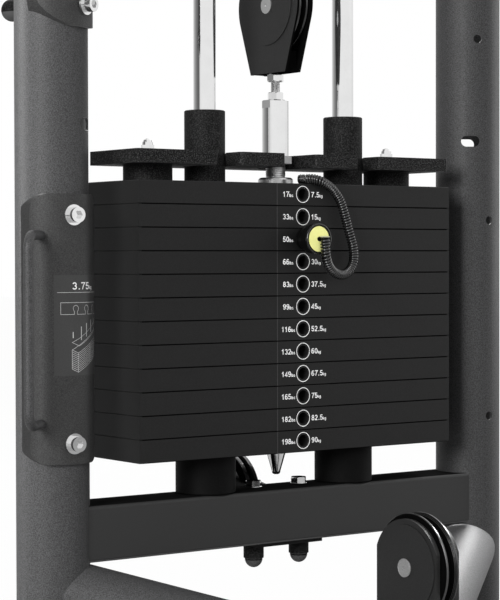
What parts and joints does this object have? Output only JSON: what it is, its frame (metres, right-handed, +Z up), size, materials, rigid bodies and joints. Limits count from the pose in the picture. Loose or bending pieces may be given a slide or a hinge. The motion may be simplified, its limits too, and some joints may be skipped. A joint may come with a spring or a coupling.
{
  "type": "cable column",
  "caption": "Strength-training cable column: round uprights, a pin-selected weight stack on guide rods, a floating pulley block and fixed pulleys.",
  "frame": {"origin": "on the floor, midway between the axes of the uprights", "axes": "+Z up, +X along the weight stack to its right seen from the front, +Y to the rear"},
  "size_m": [0.7197, 0.452, 2.164],
  "materials": {
    "charcoal_coat": "fine-textured charcoal powder coat",
    "plate_black": "satin black paint on cast iron",
    "add_on_black": "coarse-textured black coat on cast iron",
    "black_coat": "satin black powder coat",
    "bright_chrome": "polished",
    "black_rubber": "dull",
    "black_plastic": "moulded, slightly glossy",
    "yellow_plastic": "moulded"
  },
  "bodies": {
    "frame": {"left_upright": "charcoal_coat", "right_upright": "charcoal_coat", "upright_caps": "black_plastic", "left_foot_plate": "charcoal_coat", "right_foot_plate": "charcoal_coat", "front_foot_plate": "charcoal_coat", "lower_beam": "charcoal_coat", "upper_beam": "charcoal_coat", "left_leg": "charcoal_coat", "right_leg": "charcoal_coat", "front_post": "charcoal_coat", "guide_rods": "bright_chrome", "rod_collars": "black_coat", "bumpers": "black_rubber", "plate_04": "plate_black", "plate_05": "plate_black", "plate_06": "plate_black", "plate_07": "plate_black", "plate_08": "plate_black", "plate_09": "plate_black", "plate_10": "plate_black", "plate_11": "plate_black", "plate_12": "plate_black", "resting_bushes": "black_rubber", "front_cheeks": "black_coat", "rear_bracket": "charcoal_coat", "top_bracket": "charcoal_coat", "pulley_axles": "bright_chrome", "hex_bolts": "bright_chrome", "nut_covers": "black_rubber", "saddle_plate": "charcoal_coat", "saddle_handle": "charcoal_coat", "cap_screws": "bright_chrome", "clamp_saddle": "charcoal_coat"},
    "lifted_stack": {"plate_01": "plate_black", "plate_02": "plate_black", "plate_03": "plate_black", "lifted_bushes": "black_rubber", "selector_stem": "bright_chrome", "stem_nuts": "bright_chrome", "stem_coupling": "bright_chrome", "block_stud": "bright_chrome", "guide_sleeves": "black_rubber", "lanyard_anchor": "black_plastic", "block_cheeks": "black_coat", "block_spacer": "black_coat", "block_axle": "bright_chrome", "lanyard": "black_plastic"},
    "selector_pin": {"selector_pin": "bright_chrome", "pin_knob": "black_plastic", "pin_disc": "yellow_plastic"},
    "add_on_weight": {"add_on_plate": "add_on_black", "add_on_pads": "black_rubber", "add_on_nuts": "bright_chrome"},
    "block_wheel": {"block_sheave": "black_plastic"},
    "front_wheel": {"front_sheave": "black_plastic"},
    "rear_wheel": {"rear_sheave": "black_plastic"},
    "top_front_wheel": {"top_front_sheave": "black_plastic"},
    "top_rear_wheel": {"top_rear_sheave": "black_plastic"}
  },
  "joints": [
    {"name": "stack_lift", "type": "slide", "parent": "frame", "child": "lifted_stack", "axis": [0, 0, 1], "range_m": [0, 1.05]},
    {"name": "pin_pull", "type": "slide", "parent": "lifted_stack", "child": "selector_pin", "axis": [0, -1, 0], "range_m": [0, 0.07], "deforming": ["lanyard"]},
    {"name": "add_on_lift", "type": "slide", "parent": "lifted_stack", "child": "add_on_weight", "axis": [0, 0, 1], "range_m": [0, 0.075]},
    {"name": "block_wheel_spin", "type": "hinge", "parent": "lifted_stack", "child": "block_wheel", "pos_m": [0, 0, 0.7775], "axis": [1, 0, 0], "continuous": true},
    {"name": "front_wheel_spin", "type": "hinge", "parent": "frame", "child": "front_wheel", "pos_m": [0, -0.245, 0.171], "axis": [1, 0, 0], "continuous": true},
    {"name": "rear_wheel_spin", "type": "hinge", "parent": "frame", "child": "rear_wheel", "pos_m": [0, 0.094, 0.213], "axis": [1, 0, 0], "continuous": true},
    {"name": "top_front_wheel_spin", "type": "hinge", "parent": "frame", "child": "top_front_wheel", "pos_m": [0, -0.098, 1.985], "axis": [1, 0, 0], "continuous": true},
    {"name": "top_rear_wheel_spin", "type": "hinge", "parent": "frame", "child": "top_rear_wheel", "pos_m": [0, 0.098, 1.985], "axis": [1, 0, 0], "continuous": true}
  ]
}
